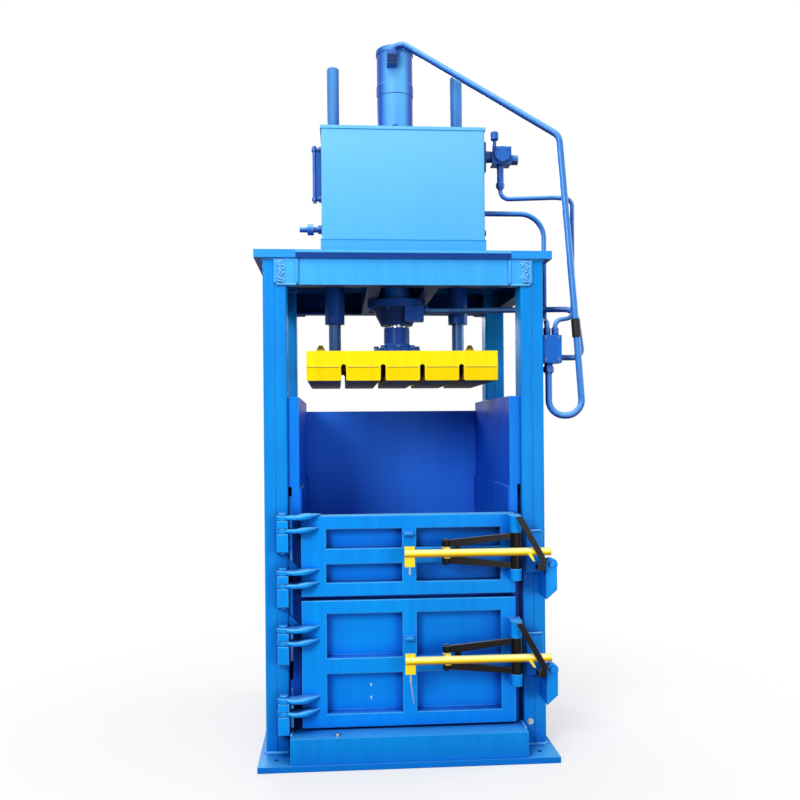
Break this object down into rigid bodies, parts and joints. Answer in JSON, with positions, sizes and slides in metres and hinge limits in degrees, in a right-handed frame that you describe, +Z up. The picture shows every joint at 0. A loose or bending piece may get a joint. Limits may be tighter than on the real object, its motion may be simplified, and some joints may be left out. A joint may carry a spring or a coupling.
{
  "type": "recycling baler",
  "caption": "Upright hydraulic baler: welded blue frame, yellow platen on guide rods, hinged chamber doors with over-centre latches, oil tank on top.",
  "frame": {"origin": "centre of the four columns at floor height, on the underside of the base plate", "axes": "+Z up, -Y towards the doors, +X to the latch side"},
  "size_m": [1.4631, 1.2295, 3.215],
  "materials": {
    "frame_paint": "gloss enamel",
    "tank_paint": "gloss enamel",
    "cylinder_paint": "gloss enamel",
    "pipe_paint": "gloss enamel",
    "press_yellow": "gloss enamel",
    "handle_yellow": "gloss enamel",
    "latch_black": "satin enamel",
    "bright_steel": "zinc plated",
    "rod_chrome": "ground and hard chromed"
  },
  "bodies": {
    "frame": {"barrel": "cylinder_paint", "barrel_cap": "cylinder_paint", "base_plate": "frame_paint", "breather": "pipe_paint", "chamber_floor": "frame_paint", "control_valve": "pipe_paint", "cylinder_beams": "frame_paint", "drain_valve": "pipe_paint", "front_beam": "frame_paint", "front_left_column": "frame_paint", "front_right_column": "frame_paint", "gland_bolts": "bright_steel", "gland_flange": "cylinder_paint", "hinge_blocks": "frame_paint", "hinge_pins": "bright_steel", "left_beam": "frame_paint", "left_guide_sleeve": "cylinder_paint", "left_liner": "frame_paint", "left_wall": "frame_paint", "level_gauge": "pipe_paint", "lower_latch_lug": "frame_paint", "lower_port_pipe": "pipe_paint", "motor": "cylinder_paint", "oil_tank": "tank_paint", "pressure_pipe": "pipe_paint", "pump": "cylinder_paint", "rear_beam": "frame_paint", "rear_left_column": "frame_paint", "rear_right_column": "frame_paint", "rear_wall": "frame_paint", "relief_valve": "pipe_paint", "return_pipe": "pipe_paint", "right_beam": "frame_paint", "right_guide_sleeve": "cylinder_paint", "right_liner": "frame_paint", "right_wall": "frame_paint", "sill": "frame_paint", "top_plate": "frame_paint", "top_port_pipe": "pipe_paint", "upper_latch_lug": "frame_paint"},
    "ram": {"piston": "bright_steel", "piston_rod": "rod_chrome", "rod_flange": "cylinder_paint", "platen": "press_yellow", "press_bars": "press_yellow", "left_guide_rod": "cylinder_paint", "right_guide_rod": "cylinder_paint"},
    "upper_door": {"upper_door": "frame_paint", "upper_hinge_straps": "frame_paint"},
    "upper_yoke": {"upper_latch_yoke": "latch_black"},
    "upper_handle": {"upper_latch_handle": "handle_yellow", "upper_latch_claw": "latch_black", "upper_latch_lock_pin": "bright_steel"},
    "lower_door": {"lower_door": "frame_paint", "lower_hinge_straps": "frame_paint"},
    "lower_yoke": {"lower_latch_yoke": "latch_black"},
    "lower_handle": {"lower_latch_handle": "handle_yellow", "lower_latch_claw": "latch_black", "lower_latch_lock_pin": "bright_steel"},
    "relief_knob": {"relief_knob": "latch_black"}
  },
  "joints": [
    {"name": "ram_slide", "type": "slide", "parent": "frame", "child": "ram", "axis": [0, 0, -1], "range_m": [0, 0.9]},
    {"name": "upper_door_hinge", "type": "hinge", "parent": "frame", "child": "upper_door", "pos_m": [-0.52, -0.552, 0.878], "axis": [0, 0, -1], "range_deg": [0, 110]},
    {"name": "upper_yoke_hinge", "type": "hinge", "parent": "upper_door", "child": "upper_yoke", "pos_m": [0.451, -0.6, 0.878], "axis": [0, 0, 1], "range_deg": [0, 70]},
    {"name": "upper_handle_hinge", "type": "hinge", "parent": "upper_yoke", "child": "upper_handle", "pos_m": [0.157, -0.6, 0.878], "axis": [0, 0, 1], "range_deg": [-35, 0]},
    {"name": "lower_door_hinge", "type": "hinge", "parent": "frame", "child": "lower_door", "pos_m": [-0.52, -0.552, 0.438], "axis": [0, 0, -1], "range_deg": [0, 110]},
    {"name": "lower_yoke_hinge", "type": "hinge", "parent": "lower_door", "child": "lower_yoke", "pos_m": [0.451, -0.6, 0.438], "axis": [0, 0, 1], "range_deg": [0, 70]},
    {"name": "lower_handle_hinge", "type": "hinge", "parent": "lower_yoke", "child": "lower_handle", "pos_m": [0.157, -0.6, 0.438], "axis": [0, 0, 1], "range_deg": [-35, 0]},
    {"name": "relief_knob_turn", "type": "hinge", "parent": "frame", "child": "relief_knob", "pos_m": [0.43, -0.3, 2.71], "axis": [0, 0, 1], "range_deg": [-180, 180]}
  ],
  "couplings": [
    {"joint": "upper_handle_hinge", "follows": "upper_yoke_hinge", "ratio": -0.5},
    {"joint": "lower_handle_hinge", "follows": "lower_yoke_hinge", "ratio": -0.5}
  ]
}
